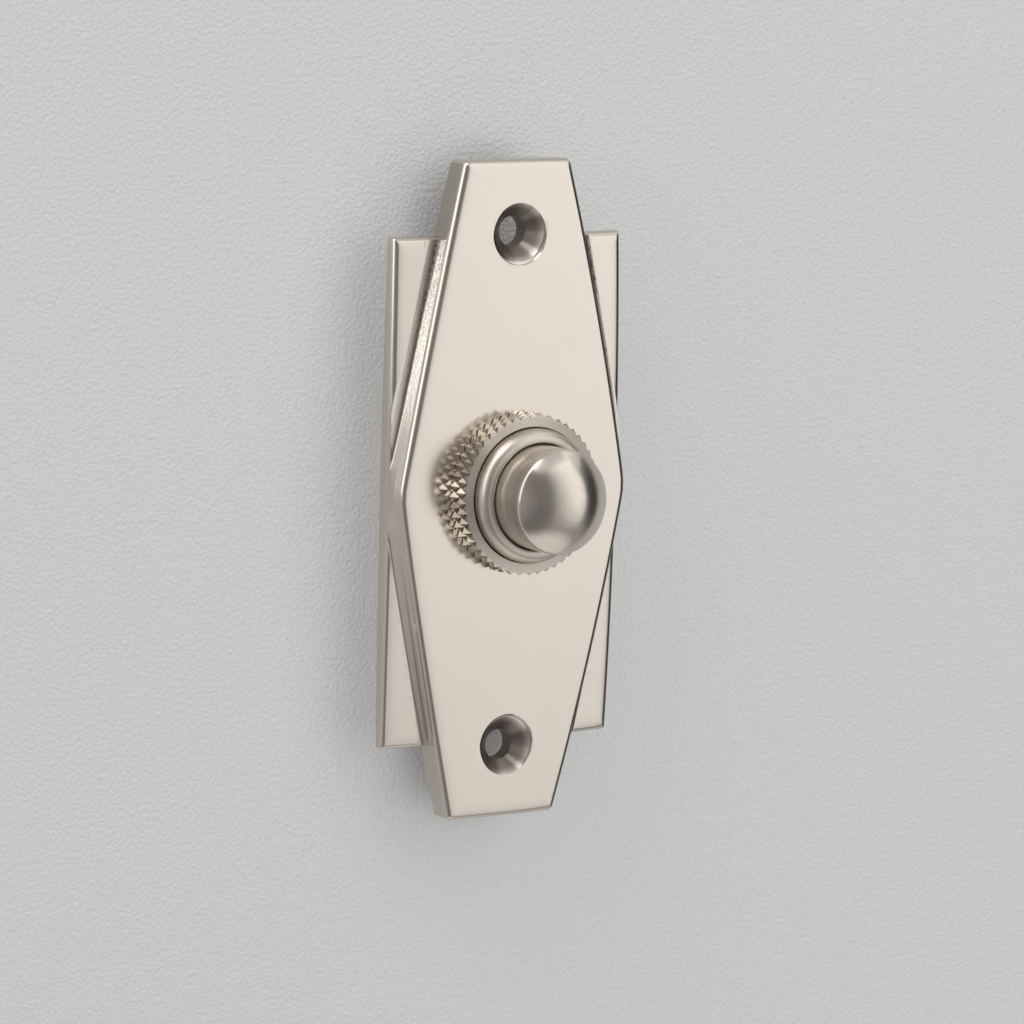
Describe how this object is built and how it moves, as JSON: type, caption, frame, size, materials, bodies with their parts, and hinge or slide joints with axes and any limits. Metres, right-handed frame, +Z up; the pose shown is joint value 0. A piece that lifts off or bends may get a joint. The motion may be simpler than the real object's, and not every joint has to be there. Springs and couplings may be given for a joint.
{
  "type": "doorbell push button",
  "caption": "Wall-mounted doorbell push with a six-sided raised plate on a winged rectangle, a diamond-knurled ring, a rounded collar and a domed button that presses in.",
  "frame": {"origin": "on the push axis, at the back face of the plate where it meets the wall", "axes": "+X across the plate to the right as seen from the front, +Y along the push axis into the wall, +Z up the plate"},
  "size_m": [0.0374, 0.0357, 0.09],
  "materials": {
    "satin_nickel": "satin nickel plate on cast brass, hand rubbed",
    "turned_nickel": "nickel plate on turned brass, lightly tarnished",
    "polished_nickel": "nickel plate on turned brass, worn smooth, tarnished on the stem",
    "fibre": "vulcanised fibre sheet",
    "phenolic": "moulded phenolic resin",
    "bronze": "rolled phosphor bronze strip",
    "silver": "fine silver contact faces",
    "brass": "turned brass, dull",
    "spring_steel": "drawn spring steel, oiled"
  },
  "bodies": {
    "body": {"face_plate": "satin_nickel", "knurled_ring": "turned_nickel", "barrel": "turned_nickel", "clamp_washer": "fibre", "terminal_base": "phenolic", "contact_stud_left": "brass", "contact_stud_right": "brass", "stud_tips": "silver", "stud_washers": "brass", "stud_nuts": "brass", "wire_washers": "brass", "terminal_nuts": "brass", "retaining_clip": "spring_steel", "return_spring": "spring_steel"},
    "button": {"push_button": "polished_nickel", "stop_washer": "fibre", "contact_insulator": "phenolic", "contact_bridge": "bronze", "bridge_contacts": "silver", "bridge_screw": "brass"}
  },
  "joints": [
    {"name": "button_press", "type": "slide", "parent": "body", "child": "button", "axis": [0, 1, 0], "range_m": [0, 0.003], "stiffness_N_per_m": 600, "springref_m": -0.004, "deforming": ["return_spring"]}
  ]
}
